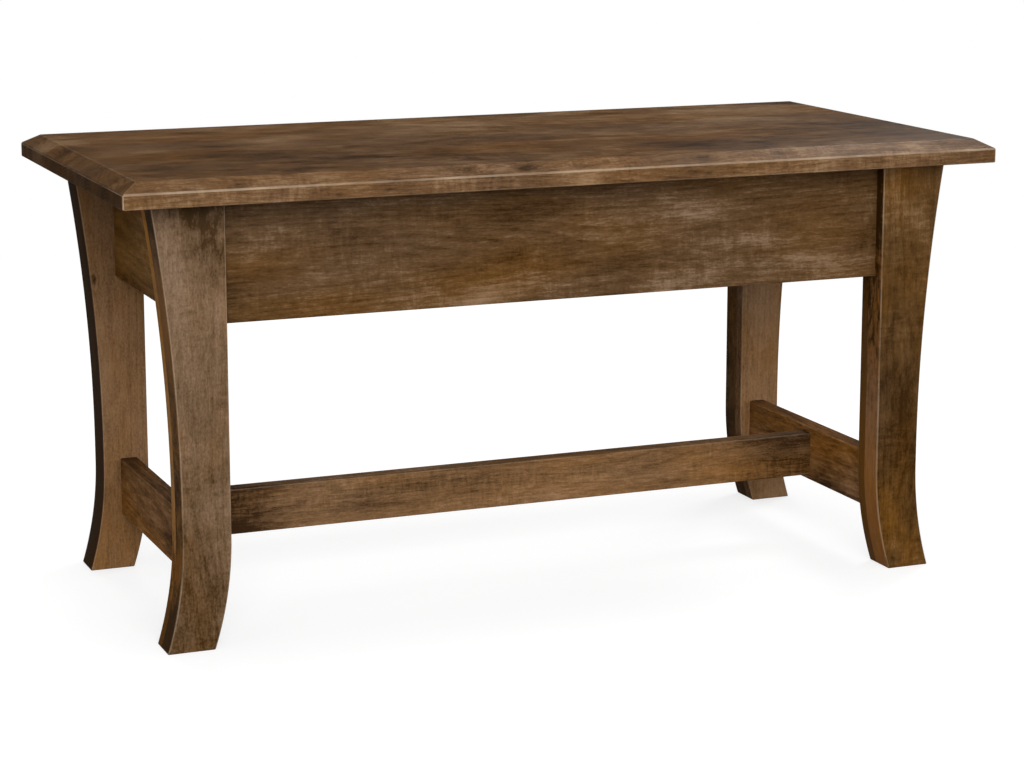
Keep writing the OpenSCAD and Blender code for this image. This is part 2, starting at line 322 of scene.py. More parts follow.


# %% [markdown]
# On the real bench the sharp edges are sanded off by about a millimetre, and the stain is thinner
# there, so each edge shows as a fine light line. The line is also a painted highlight, where the
# rounded edges would catch the lamps. Cycles can find edges by itself, but that gives soft, wide
# wear. Each board's mesh marks its own eased faces instead, in an attribute called arris, and
# this group breaks the line up so that it isn't ruled.

# %% Arris wear and highlight
def worn_arris():
    """Where a sanded edge shows paler wood and a painted highlight, 0 to 1."""
    tree, have, leave = start_group("Arris wear and highlight", "ShaderNodeTree", {
        "Place": "Vector"}, {"WearAndHighlight": "Float"})
    marked = lay(tree, "ShaderNodeAttribute", attribute_name="arris")["Fac"]
    broken = clamped(drawn_noise(have["Place"], (18, 40, 40), detail=3.0) * 2.2 + 0.75)
    fill(leave, {"WearAndHighlight": marked * broken})
    return tree


RINGS, LINES, CURL = growth_rings(), grain_lines(), curly_figure()
STAIN, EYE, ARRIS_WEAR_AND_HIGHLIGHT = cloudy_stain(), grain_eye(), worn_arris()
print("Pattern groups:", [group.name for group in (RINGS, LINES, CURL, STAIN, EYE, ARRIS_WEAR_AND_HIGHLIGHT)])

# %% [markdown]
# ## Stained wood
# This group puts the patterns together. Clouds, lines, flecks, curl, rings and blotches add up to
# a tone, which picks a colour between the board's dark, middle and light brown. End grain soaks
# up more stain, so faces that look along the grain go darker and lose their lines. A board's
# edges can be darker or paler than its faces. The group hands out a colour, a roughness and a
# height, and the shader itself stays in each board's material.

# %% The stained wood group
# The deepest brown, for the darkest stain and the deepest painted shade
DEEPEST_STAIN_AND_SHADE = srgb("#120902")
SOAKED = srgb("#2c1902")
# Pale wood of the worn edges, which also serves as a painted highlight there
PALE_WEAR_AND_HIGHLIGHT = srgb("#c8b49c")


def use(tree, group, **inputs):
    """Places a shared group in a tree, with underscores in its inputs' names for spaces."""
    named = {name.replace("_", " "): value for name, value in inputs.items()}
    return lay(tree, "ShaderNodeGroup", named, node_tree=group)


def blend_colours(share, first, second):
    """One Mix node on colours."""
    return lay(share.tree, "ShaderNodeMix", {0: share, 6: first, 7: second},
               data_type="RGBA", clamp_factor=True)[2]


def facing(axis, low, high):
    """1 where a face looks along the axis, 0 where it looks aside."""
    normal = lay(axis.tree, "ShaderNodeNewGeometry")["Normal"]
    return ramp(abs(calc("DOT_PRODUCT", normal, axis)), low, high)


def stained_wood():
    tree, have, leave = start_group("Stained wood", "ShaderNodeTree", {
        "Place": "Vector", "Cloud Place": "Vector", "Grain Axis": (1, 0, 0),
        "Edge Axis": (0, 1, 0), "Dark": "Color", "Middle": "Color", "Light": "Color",
        "Turned": "Color", "Clouds": 0.2, "Lines": 0.2, "Flecks": 0.1, "Rings": 0.15,
        "Curl": 0.1, "Turn": 0.3, "End Stain": 0.4, "Edge Tone": 0.0, "Edge Turn": 0.0,
        "WearAndHighlight": 0.35, "Heart": (0, 0.02, 0.06), "Cloud Stretch": (1, 1, 1),
        "Middle Along": 0.0, "Joint Reach": 10.0, "Joint Stain": 0.0, "Bend": 0.0,
        "Spot": 0.0, "Side Spot": 0.0},
        {"Colour": "Color", "Roughness": "Float", "Height": "Float"})
    bent = have["Place"] + vector(y=have["Bend"], z=have["Bend"])
    rings = use(tree, RINGS, Place=bent, Heart=have["Heart"])["Rings"]
    grain = use(tree, LINES, Place=bent)
    curl = use(tree, CURL, Place=bent)["Curl"]
    stain = use(tree, STAIN, Place=have["Cloud Place"], Stretch=have["Cloud Stretch"])
    wear_and_shine = use(tree, ARRIS_WEAR_AND_HIGHLIGHT, Place=have["Cloud Place"])["WearAndHighlight"]
    end = facing(have["Grain Axis"], 0.25, 0.9)
    edge = facing(have["Edge Axis"], 0.6, 0.95)
    # On end grain the cut pores speckle the wood, and the rings show more
    speckle = drawn_noise(have["Place"], (700, 700, 700)) * 1.6
    lines = lay(tree, "ShaderNodeMix", {0: end, 2: grain["Lines"], 3: speckle})[0]
    tone = stain["Cloud"] * have["Clouds"] + 0.5 + lines * have["Lines"]
    tone = tone + grain["Flecks"] * have["Flecks"] + curl * have["Curl"]
    tone = tone - rings * (end * 0.5 + have["Rings"]) - have["Spot"]
    tone = tone + edge * (have["Edge Tone"] - have["Side Spot"])
    # Darker at both ends, by the joints, where the rag doesn't reach: stain that gathers there,
    # and painted shade beside the legs
    off_middle = abs(split(have["Place"])[0] - have["Middle Along"])
    tone = tone - ramp(off_middle - have["Joint Reach"], -0.15, 0.0) * have["Joint Stain"]
    # The tone picks a brown
    lower = clamped(tone * 2.0)
    colour = blend_colours(lower, have["Dark"], have["Middle"])
    colour = blend_colours(clamped(tone * 2.0 - 1.0), colour, have["Light"])
    # Below the dark brown the colour deepens further, and slowly, so that no blotch looks flat:
    # deeper stain, and the deepest painted shade
    colour = blend_colours(clamped(tone * -0.6), colour, DEEPEST_STAIN_AND_SHADE)
    # Only the paler wood turns: where the stain lies dark, it hides the wood's own colour
    turned = clamped((edge * have["Edge Turn"] + stain["Turn"] * have["Turn"]) * lower)
    colour = blend_colours(turned, colour, have["Turned"])
    # Where the wood is all of the turned colour, the lines still show in it
    colour = lay(tree, "ShaderNodeHueSaturation", {
        "Saturation": stain["Turn"] * 0.1 + 1.0, "Value": lines * turned * 0.3 + 1.0,
        "Color": colour})[0]
    colour = blend_colours(end * have["End Stain"], colour, SOAKED)
    # The eased edges go pale: sanded wear, and a painted highlight
    colour = blend_colours(wear_and_shine * have["WearAndHighlight"], colour, PALE_WEAR_AND_HIGHLIGHT)
    roughness = grain["Lines"] * 0.05 + 0.42 - stain["Cloud"] * 0.03 - wear_and_shine * 0.1
    fill(leave, {"Colour": colour, "Roughness": roughness,
                 "Height": grain["Fibres"] * 0.5 + lines * 0.5})
    return tree


WOOD = stained_wood()
print("The stained wood group takes", len(WOOD.interface.items_tree), "named values")

# %% [markdown]
# ## One material for each board
# Every board came from another plank, and the stain took on each in its own way: the right front
# leg is darker and more olive than the left one, and the inner boards of the legs differ from the
# outer ones. So each board gets its own small material round the shared group. A Mapping node
# turns the board's length onto the group's x and moves it to another part of the tree.

# %% A board's material
GRAIN_TURNS = {"x": (0, 0, 0), "y": (0, 0, -math.pi / 2), "z": (0, math.pi / 2, 0)}
GRAIN_AXES = {"x": (1, 0, 0), "y": (0, 1, 0), "z": (0, 0, 1)}
# Faces that look this way are a board's edges: the seat's front edge, or a leg's sides
EDGE_AXES = {"x": (0, 1, 0), "y": (0, 0, 1), "z": (1, 0, 0)}
# How ragged a blotch's outline is, on a board's faces and on its sides
RAGGED, SOFT = 1.4, 0.4
SEAT_CLOUD = (2, 3, 4)
SEED_STEP = Vector((1.37, 0.71, 0.93))
SHEEN = 0.11


def board_material(name, grain, seed, browns, heart, eyes=(), side_eyes=(), one_cloud=False,
                   **shares):
    """A satin stained board: its grain's direction, its four browns, where its tree's heart
    was, its eyes and blotches, and those that only its sides show."""
    material, tree, shader = new_material(name)
    spot = lay(tree, "ShaderNodeTexCoord")["Object"]
    away = seed * SEED_STEP
    # The boards of the seat were stained together, so one cloud runs over all of them
    place, cloud_place = (lay(tree, "ShaderNodeMapping", {
        "Vector": spot, "Rotation": GRAIN_TURNS[grain], "Location": shift})[0]
        for shift in (away, SEAT_CLOUD if one_cloud else away))
    turn = Euler(GRAIN_TURNS[grain]).to_matrix()

    def gather(some_eyes, rag):
        bend = dark = 0.0
        for middle, size, swirl, darken in some_eyes:
            eye = use(tree, EYE, Place=place, Middle=turn @ Vector(middle) + away,
                      Size=size, Swirl=swirl, Darken=darken, Rag=rag)
            bend = eye["Bend"] + bend
            dark = eye["Spot"] + dark
        return bend, dark

    bend, dark_spot = gather(eyes, RAGGED)
    shares.update(zip(("Dark", "Middle", "Light", "Turned"), map(srgb, browns)))
    wood = use(tree, WOOD, Place=place, Cloud_Place=cloud_place, Grain_Axis=GRAIN_AXES[grain],
               Edge_Axis=EDGE_AXES[grain], Heart=turn @ Vector(heart) + away, Bend=bend,
               Spot=dark_spot, Side_Spot=gather(side_eyes, SOFT)[1], Middle_Along=away.x,
               **shares)
    bump = lay(tree, "ShaderNodeBump", {
        "Height": wood["Height"], "Strength": 0.35, "Distance": 0.00025})[0]
    fill(shader.inputs, {"Base Color": wood["Colour"], "Roughness": wood["Roughness"],
                         "Normal": bump})
    shader.inputs["Specular IOR Level"].default_value = SHEEN
    return material


def blotches(y, *places):
    """Blotches on an upright face: each is its x and z, its size, and how much it darkens."""
    return [((x, y, z), size, 0.0, darken) for x, z, size, darken in places]


# %% [markdown]
# ## Easing a board's edges
# A board's shape is right in the CAD model, but its edges there are as sharp as a knife. Real
# ones are eased with sandpaper. Modelling each edge by hand would take long. Instead the board's
# CAD mesh is copied and cleaned, the edges that a joiner would sand get a bevel weight, and the
# Bevel modifier rounds them. Weighted normals keep the flat faces flat beside the round edges.

# %% Clean and ease
EASE = 0.0013
EASE_STEPS = 3
WELD = 1e-6
TIGHT_WELD = 1e-7
FLAT_ANGLE = math.radians(1)
SHARP_ANGLE = math.radians(12)


def welded(mesh, distance):
    """A mesh as a bmesh, with the points that meet made one."""
    form = bmesh.new()
    form.from_mesh(mesh)
    bmesh.ops.remove_doubles(form, verts=form.verts, dist=distance)
    return form


def unload(form, mesh):
    form.to_mesh(mesh)
    form.free()


def weigh_edges(form, weight_of):
    """Gives each sharp edge the bevel weight that the rule asks for."""
    layer = form.edges.layers.float.new("bevel_weight_edge")
    for edge in form.edges:
        if len(edge.link_faces) == 2 and edge.calc_face_angle() > SHARP_ANGLE:
            edge[layer] = weight_of(edge)


def add_ease(piece):
    bevel = piece.modifiers.new("ease", "BEVEL")
    bevel.limit_method = "WEIGHT"
    bevel.width = EASE
    bevel.segments = EASE_STEPS


def plain_mesh(piece):
    """The evaluated object's mesh, with the object and its modifiers gone."""
    evaluated = piece.evaluated_get(bpy.context.evaluated_depsgraph_get())
    mesh = bpy.data.meshes.new_from_object(evaluated)
    bpy.data.objects.remove(piece)
    return mesh


# %% Mark the worn and highlighted edges
NARROW = 0.0009
CREASE_WEAR_AND_HIGHLIGHT = 0.35
UNDER_WEAR_AND_HIGHLIGHT = 0.25
END_WEAR_AND_HIGHLIGHT = 0.1
# How far a face's normal leans up, and how far endways, where its wear and painted highlight
# change
STRAIGHT_UP, PARTLY_UP, DOWN = 0.84, 0.3, -0.2
PARTLY_ENDWAYS, HARDLY_ENDWAYS = 0.4, 0.05


def wear_share(normal):
    """How much a narrow face shows its wear and painted highlight, by the way that it looks:
    faintly if it looks down, or up and endways. Soft creases that look nearly straight up show it
    only on the ends."""
    endways, up = abs(normal.x), normal.z
    if up >= STRAIGHT_UP:
        return CREASE_WEAR_AND_HIGHLIGHT if endways > HARDLY_ENDWAYS else 0.0
    if up < DOWN:
        return UNDER_WEAR_AND_HIGHLIGHT
    return END_WEAR_AND_HIGHLIGHT if up > PARTLY_UP and endways > PARTLY_ENDWAYS else 1.0


def mark_arrises(mesh):
    """Marks the narrow faces of the eased edges for the shader."""
    marks = mesh.attributes.new("arris", "FLOAT", "FACE")
    for face in mesh.polygons:
        corners = [mesh.vertices[i].co for i in face.vertices]
        longest = max((a - b).length for a, b in zip(corners, corners[1:] + corners[:1]))
        narrow = face.area / longest < NARROW
        marks.data[face.index].value = wear_share(face.normal) if narrow else 0.0


# %% Finish a piece
SMOOTH_ANGLE = math.radians(32)


def finish_piece(name, mesh, material, node):
    """Shades a finished mesh, puts it in the scene under the root body, and hides its CAD node.
    """
    mesh.materials.clear()
    mesh.materials.append(material)
    mesh.shade_smooth()
    mesh.set_sharp_from_angle(angle=SMOOTH_ANGLE)
    shaded = new_object("shading", mesh)
    shaded.modifiers.new("weighted normals", "WEIGHTED_NORMAL").keep_sharp = True
    mesh = plain_mesh(shaded)
    mesh.name = name
    piece = new_object(name, mesh)
    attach(piece, "root")
    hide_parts(node)
    return piece


def board_from_cad(node, weight_of, material):
    """A board in its CAD shape, its loose triangles made whole faces and its edges eased."""
    form = welded(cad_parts[node].data, WELD)
    bmesh.ops.dissolve_limit(form, angle_limit=FLAT_ANGLE, verts=form.verts, edges=form.edges)
    weigh_edges(form, weight_of)
    draft = new_object("draft", bpy.data.meshes.new(node))
    unload(form, draft.data)
    add_ease(draft)
    mesh = plain_mesh(draft)
    mark_arrises(mesh)
    piece = finish_piece(node + "_wood", mesh, material, node)
    print(piece.name, "has", len(mesh.polygons), "faces")


# %% [markdown]
# ## The seat
# The seat is a slab of five boards, glued edge to edge and planed flat, with a wide bevel cut
# round its upper face. The joints are tight, so only the figure of the wood changes from board
# to board, and no edge is eased there. The outer edges are eased fully, and the soft corners of
# the bevel about half as much.

# %% Seat boards
SEAT_LOW = Vector(map(min, *(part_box(f"seat_board_{i}")[0] for i in (1, 3, 5))))
SEAT_HIGH = Vector(map(max, *(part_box(f"seat_board_{i}")[1] for i in (1, 3, 5))))
NEAR = 0.0001
SOFT_CORNER = math.radians(50)


def on_skin(face):
    """Whether a face is on the outside of the slab, and not in a glue joint or a screw hole."""
    middle, normal = face.calc_center_median(), face.normal
    if normal.z > PARTLY_UP or abs(middle.z - SEAT_LOW.z) < NEAR:
        return True
    return (abs(abs(middle.x) - SEAT_HIGH.x) < NEAR) or (abs(abs(middle.y) - SEAT_HIGH.y) < NEAR)


def seat_edge_weight(edge):
    if not all(on_skin(face) for face in edge.link_faces):
        return 0.0
    return 0.5 if edge.calc_face_angle() < SOFT_CORNER else 1.0


SEAT_BROWNS = ("#39240d", "#684a2d", "#917454", "#764d22")
SWIRLS = [((x, -0.208, 0.452), 0.008, 0.006, 0.3) for x in (-0.12, -0.06, -0.005, 0.127, 0.212)]
# Where the stain lies darker and paler on the real top
TOP_BLOTCHES = [((x, y, z), size, 0.0, darken) for x, y, z, size, darken in (
    (-0.31, -0.10, 0.457, 0.13, 0.26), (0.02, 0.10, 0.457, 0.10, -0.14),
    (0.20, 0.12, 0.457, 0.07, -0.05), (-0.12, -0.10, 0.457, 0.06, 0.1),
    (-0.455, 0.12, 0.445, 0.06, -0.2), (0.38, -0.08, 0.457, 0.10, 0.28))]
EDGE_BLOTCHES = blotches(-0.216, (-0.23, 0.445, 0.03, -0.2), (0.22, 0.440, 0.025, 0.25))
EDGE_BLOTCHES += blotches(-0.205, (0.37, 0.455, 0.02, -0.25))
SEAT_BOARDS = {
    # The front board's arrises are drawn paler still, as a stronger painted highlight on the
    # front edge
    "seat_board_1": dict(
        seed=1, heart=(0, -0.15, 0.38), Rings=0.2, Curl=0.22, WearAndHighlight=0.4, Edge_Turn=-0.3,
        Edge_Tone=0.02, eyes=SWIRLS + TOP_BLOTCHES + EDGE_BLOTCHES),
    "seat_board_2": dict(seed=2, heart=(0, -0.10, 0.35), Rings=0.14, Curl=0.08),
    "seat_board_3": dict(seed=3, heart=(0, 0.02, 0.52), Rings=0.16, Curl=0.06),
    "seat_board_4": dict(seed=4, heart=(0, 0.09, 0.36), Rings=0.14, Curl=0.1),
    "seat_board_5": dict(seed=5, heart=(0, 0.16, 0.39), Rings=0.16, Curl=0.08),
}
for node, look in SEAT_BOARDS.items():
    look = {"eyes": TOP_BLOTCHES, "Clouds": 0.42, "Lines": 0.32, "Flecks": 0.1, "Turn": 0.35,
            "End_Stain": 0.4, "WearAndHighlight": 0.28, **look}
    material = board_material("stained_" + node, "x", browns=SEAT_BROWNS, one_cloud=True, **look)
    board_from_cad(node, seat_edge_weight, material)

# %% [markdown]
# ## Making pieces with Geometry Nodes
# The legs, their mortises, the screws and the clips could be modelled by hand. Here node trees
# make them from named sizes, so that a size can be changed later. What the trees share is written
# once: how each one starts and ends, and how a form is moved, swept, cut or copied.

# %% Helpers for geometry trees
def start_geometry(name, sizes):
    """An empty geometry group with named sizes, and a material as its last input."""
    return start_group(name, "GeometryNodeTree", {
        "Geometry": "Geometry", **sizes, "Material": "Material"}, {"Geometry": "Geometry"})


def finish_geometry(have, leave, form):
    """The last nodes of every geometry tree: copies made real, and the material set."""
    real = lay(form.tree, "GeometryNodeRealizeInstances", {"Geometry": form})[0]
    fill(leave, {"Geometry": lay(form.tree, "GeometryNodeSetMaterial", {
        "Geometry": real, "Material": have["Material"]})[0]})


def point_places(tree):
    """The x, y and z of each point."""
    return split(lay(tree, "GeometryNodeInputPosition")[0])


def set_places(form, places):
    """Puts each point of a form where a vector says."""
    return lay(form.tree, "GeometryNodeSetPosition", {"Geometry": form, "Position": places})[0]


def moved(form, way):
    return lay(form.tree, "GeometryNodeTransform", {"Geometry": form, "Translation": way})[0]


def swept(path, outline):
    """An outline swept along a path, with closed ends."""
    return lay(path.tree, "GeometryNodeCurveToMesh", {
        "Curve": path, "Profile Curve": outline, "Fill Caps": True})[0]


def cut_from(solid, cutters):
    return lay(solid.tree, "GeometryNodeMeshBoolean", {"Mesh 1": solid, "Mesh 2": cutters},
               operation="DIFFERENCE", solver="EXACT")["Mesh"]


def on_aimed_points(tree, have, form, axis, pivot="AUTO"):
    """A copy of a form on every point, its axis turned to the point's aim."""
    aim = lay(tree, "GeometryNodeInputNamedAttribute", {"Name": "aim"},
              data_type="FLOAT_VECTOR")["Attribute"]
    turn = lay(tree, "FunctionNodeAlignRotationToVector", {"Vector": aim}, axis=axis,
               pivot_axis=pivot)["Rotation"]
    return lay(tree, "GeometryNodeInstanceOnPoints", {
        "Points": have["Geometry"], "Instance": form, "Rotation": turn})[0]

# %% [markdown]
# ## The legs
# Each leg is two flat boards glued face to face and sawn to one outline: straight inside, hollow
# outside towards the seat, and sweeping outwards at the foot. It could be drawn as a curve, but
# the outline follows a rule: an arc that leaves a straight line runs a known way along it and a
# known way off it. So Geometry Nodes make it from a grid of two columns of points, moved to the
# rule and thickened. All eight boards come from this one tree.

# %% The rule of a sweep
def sweep_off(along, reach, off):
    """How far an arc has left its straight line after so far along it."""
    radius = (off * off + reach * reach) / (off * 2.0)
    run = calc("MAXIMUM", along, 0.0)
    return radius - calc("SQRT", radius * radius - run * run)


# %% The leg board tree
SHARP_BEND = 0.6


def leg_board_tree():
    tree, have, leave = start_geometry("Flared leg board", {
        "Height": 0.433, "Top Width": 0.072, "Waist Width": 0.048, "Foot Width": 0.047,
        "Kick Height": 0.110, "Kick": 0.018, "Flare Start": 0.130, "Inner X": 0.350,
        "Show Face Y": 0.175, "Joint Face Y": 0.150, "Side": 1.0, "End": 1.0, "Rows": 97})
    grid = lay(tree, "GeometryNodeMeshGrid", {
        "Size X": 1.0, "Size Y": have["Height"], "Vertices X": 2, "Vertices Y": have["Rows"]})
    grid_x, grid_y, _ = point_places(tree)
    up = have["Height"] * 0.5 + grid_y
    # Below the kick both edges sweep outwards, and above the waist the outer edge flares
    below = have["Kick Height"] - up
    inner = sweep_off(below, have["Kick Height"], have["Kick"])
    outer_kick = have["Kick"] + (have["Foot Width"] - have["Waist Width"])
    flare = sweep_off(up - have["Flare Start"], have["Height"] - have["Flare Start"],
                      have["Top Width"] - have["Waist Width"])
    outer = have["Waist Width"] + (sweep_off(below, have["Kick Height"], outer_kick) + flare)
    across = lay(tree, "ShaderNodeMix", {
        0: calc("GREATER_THAN", grid_x, 0.0), 2: inner, 3: outer})[0]
    outline = set_places(grid["Mesh"], vector(
        (have["Inner X"] + across) * have["Side"], have["Show Face Y"] * have["End"], up))
    return tree, have, leave, outline


def thicken_and_flag(tree, have, leave, outline):
    """Turns the flat outline into a closed board and flags the edges to be eased."""
    depth = (have["Joint Face Y"] - have["Show Face Y"]) * have["End"]
    raised = lay(tree, "GeometryNodeExtrudeMesh", {
        "Mesh": outline, "Offset": vector(y=depth), "Offset Scale": 1.0, "Individual": False})
    backing = lay(tree, "GeometryNodeFlipFaces", {"Mesh": outline})[0]
    joined = lay(tree, "GeometryNodeJoinGeometry", {0: [raised["Mesh"], backing]})[0]
    closed = lay(tree, "GeometryNodeMergeByDistance", {"Geometry": joined, "Distance": WELD})[0]
    # An edge is eased if it is sharp, lies off the glue joint and isn't under the seat
    _, middle_y, middle_z = point_places(tree)
    angle = lay(tree, "GeometryNodeInputMeshEdgeAngle")["Unsigned Angle"]
    sharp = calc("GREATER_THAN", angle, SHARP_BEND)
    off_joint = calc("GREATER_THAN", abs(abs(middle_y) - have["Joint Face Y"]), NEAR)
    under = calc("LESS_THAN", middle_z, have["Height"] - NEAR)
    finish_geometry(have, leave, lay(tree, "GeometryNodeStoreNamedAttribute", {
        "Geometry": closed, "Name": "bevel_weight_edge", "Value": sharp * (off_joint * under)},
        data_type="FLOAT", domain="EDGE")[0])
    return tree


LEG_BOARD = thicken_and_flag(*leg_board_tree())
print(LEG_BOARD.name, "has", len(LEG_BOARD.nodes), "nodes")

# %% [markdown]
# The aprons and stretchers end in tenons, and a tenon needs a mortise. A second tree cuts them
# with a Boolean: three boxes at each corner of the bench, a tenth of a millimetre wider than the
# tenons. It comes after the Bevel modifier in the stack, so that the mortises stay square.

# %% The mortise tree
# Lowest and highest corners of the three mortises of the right rear leg, in metres
MORTISES = {
    "Apron": ((0.349, 0.1474, 0.3209), (0.3635, 0.1556, 0.4251)),
    "End Apron": ((0.3659, 0.135, 0.3209), (0.3741, 0.1585, 0.4251)),
    "End Stretcher": ((0.3669, 0.135, 0.0669), (0.3751, 0.1585, 0.1111)),
}


def mortise_tree():
    corners = {}
    for name, (low, high) in MORTISES.items():
        corners.update({name + " Low": low, name + " High": high})
    tree, have, leave = start_geometry("Mortises", {**corners, "Side": 1.0, "End": 1.0})
    hand = vector(have["Side"], have["End"], 1.0)
    cutters = []
    for name in MORTISES:
        low, high = have[name + " Low"], have[name + " High"]
        block = lay(tree, "GeometryNodeMeshCube", {"Size": high - low})["Mesh"]
        cutters.append(moved(block, (low + high) * (0.5, 0.5, 0.5) * hand))
    finish_geometry(have, leave, cut_from(have["Geometry"], cutters))
    return tree


MORTISE_CUTS = mortise_tree()
print(MORTISE_CUTS.name, "has", len(MORTISE_CUTS.nodes), "nodes")

# %% [markdown]
# A modifier's inputs are set by each socket's identifier, which the tree's interface knows, and
# before the object is first evaluated. The result is turned into a plain mesh, and the eight
# boards differ in their side, their end, their two faces and their wood.

# %% Leg boards
def add_tree(piece, tree, **values):
    """Adds a Geometry Nodes modifier and sets its named inputs."""
    modifier = piece.modifiers.new(tree.name, "NODES")
    modifier.node_group = tree
    sockets = {item.name: item.identifier for item in tree.interface.items_tree
               if item.in_out == "INPUT"}
    for name, value in values.items():
        modifier[sockets[name.replace("_", " ")]] = value


def leg_board(node, side, end, show_y, material):
    draft = new_object("draft", bpy.data.meshes.new("draft"))
    add_tree(draft, LEG_BOARD, Side=side, End=end, Show_Face_Y=show_y,
             Joint_Face_Y=JOINT_FACE_Y, Material=material)
    add_ease(draft)
    add_tree(draft, MORTISE_CUTS, Side=side, End=end, Material=material)
    mesh = plain_mesh(draft)
    form = welded(mesh, TIGHT_WELD)
    bmesh.ops.recalc_face_normals(form, faces=form.faces)
    unload(form, mesh)
    mark_arrises(mesh)
    piece = finish_piece(node + "_wood", mesh, material, node)
    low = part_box(node)[0]
    print(piece.name, "has", len(mesh.polygons), "faces and is off its CAD box by",
          round(1000 * max(abs(piece.bound_box[0][i] - low[i]) for i in range(3)), 3), "mm")


TAUPE = ("#3f2a10", "#6e553d", "#91755d", "#7a5020")
OLIVE = ("#341e03", "#5b3f1e", "#8b6b4a", "#875a2f")
TAN = ("#43290f", "#82603f", "#9c7a59", "#845c34")
HONEY = ("#63401a", "#9a7040", "#b98a50", "#9c662b")
UMBER = ("#221302", "#432b11", "#684a29", "#5c3b16")
SHOW_FACE_Y, JOINT_FACE_Y, BACK_FACE_Y = 0.175, 0.150, 0.136
HEART_X, HEART_DEPTH = 0.395, 0.07
# Where the legs are darker and paler: blotches of stain, with painted shade and painted light on
# some boards
# On the left front leg: painted shade just under the seat, and darker towards the foot
LEFT_FRONT_SEAT_SHADE_AND_DARK_FOOT = blotches(-0.175, (-0.385, 0.444, 0.036, 0.55), (-0.352, 0.434, 0.036, 0.46),
                      (-0.395, 0.0, 0.11, 0.3))
RIGHT_FRONT = blotches(-0.175, (0.380, 0.15, 0.10, 0.36))
DARK_TIP = blotches(-0.143, (-0.41, 0.03, 0.05, 0.6))
# Painted shade on the right front leg's inner side, in the corner under the apron
PAINTED_SHADE_BY_APRON = blotches(-0.15, (0.35, 0.41, 0.12, 1.1))
RIGHT_OUTSIDE = blotches(-0.162, (0.425, 0.06, 0.08, 0.32), (0.425, 0.22, 0.08, 0.32))
# On the left front leg's outer side: painted light, paler near the foot and higher up where the
# curved side turns to the lamps; painted shade under the seat; darker at the very foot
LEFT_OUTSIDE_LIGHT_AND_SHADE = blotches(-0.162, (-0.420, 0.00, 0.03, 0.18), (-0.407, 0.08, 0.028, -0.5),
                        (-0.405, 0.32, 0.04, -0.25), (-0.420, 0.44, 0.04, 0.24))
PALE_BACK = blotches(0.136, (0.385, 0.22, 0.045, -0.2), (0.395, 0.0, 0.035, -0.4))
PIN_KNOT = [((-0.402, 0.136, 0.311), 0.0035, 0.003, 0.6)]
LEG_BOARDS = {
    "leg_front_left_face": dict(
        browns=TAUPE, seed=11, Curl=0.24, Edge_Tone=-0.3, Edge_Turn=1.4, eyes=LEFT_FRONT_SEAT_SHADE_AND_DARK_FOOT,
        side_eyes=LEFT_OUTSIDE_LIGHT_AND_SHADE),
    "leg_front_left_back": dict(browns=HONEY, seed=12, Curl=0.2, Edge_Turn=0.3, eyes=DARK_TIP),
    "leg_front_right_face": dict(
        browns=OLIVE, seed=13, Curl=0.2, Lines=0.16, Flecks=0.11, Turn=0.3, Edge_Tone=0.42,
        Edge_Turn=1.0, eyes=RIGHT_FRONT, side_eyes=PAINTED_SHADE_BY_APRON + RIGHT_OUTSIDE),
    "leg_front_right_back": dict(
        browns=UMBER, seed=14, Curl=0.08, Edge_Tone=0.5, side_eyes=PAINTED_SHADE_BY_APRON),
    "leg_rear_left_face": dict(browns=TAUPE, seed=15, Curl=0.1, Edge_Tone=-0.8),
    "leg_rear_left_back": dict(
        browns=TAN, seed=16, Clouds=0.14, Curl=0.03, Edge_Tone=-1.0, eyes=PIN_KNOT),
    "leg_rear_right_face": dict(
        browns=OLIVE, seed=17, Clouds=0.32, Curl=0.12, Edge_Tone=-0.4, Edge_Turn=0.2),
    "leg_rear_right_back": dict(
        browns=TAN, seed=18, Clouds=0.12, Curl=0.05, Edge_Tone=-0.35, Edge_Turn=0.2,
        eyes=PALE_BACK),
}
for node, look in LEG_BOARDS.items():
    side = 1 if "right" in node else -1
    end = 1 if "rear" in node else -1
    is_face = node.endswith("face")
    show_y = SHOW_FACE_Y if is_face else BACK_FACE_Y
    look = {"Clouds": 0.22, "Lines": 0.2, "Flecks": 0.17, "Turn": 0.25, "End_Stain": 0.45,
            "WearAndHighlight": 0.2 if is_face else 0.14, "Edge_Turn": 0.6,
            "Cloud_Stretch": (1.5, 1.7, 1.7), **look}
    heart = (side * HEART_X, end * (show_y - HEART_DEPTH), 0)
    material = board_material("stained_" + node, "z", heart=heart, **look)
    leg_board(node, side, end, show_y, material)

# %% [markdown]
# ## Aprons and stretchers
# These are plain boards with tenons. Their long edges are eased, apart from the aprons' upper
# ones, which the seat covers. The aprons took the stain darker than the left front leg did, and
# the stretchers are a warmer brown, darkest beside their joints: stain gathered there, and
# painted shade beside the legs.

# %% Rails
SEAT_UNDER = SEAT_LOW.z
LONG_EDGE = 0.2


def rail_edge_weight(edge):
    low_enough = max(vertex.co.z for vertex in edge.verts) < SEAT_UNDER - NEAR
    return 1.0 if edge.calc_length() > LONG_EDGE and low_enough else 0.0


APRON_BROWNS = ("#341e02", "#5b4126", "#896f57", "#6c4924")
WARM_BROWNS = ("#432603", "#735022", "#a07a4c", "#80531c")
STRETCHER_BROWNS = ("#38220a", "#7a5938", "#a88261", "#86562a")
END_BROWNS = ("#392108", "#78522b", "#a6794e", "#855223")
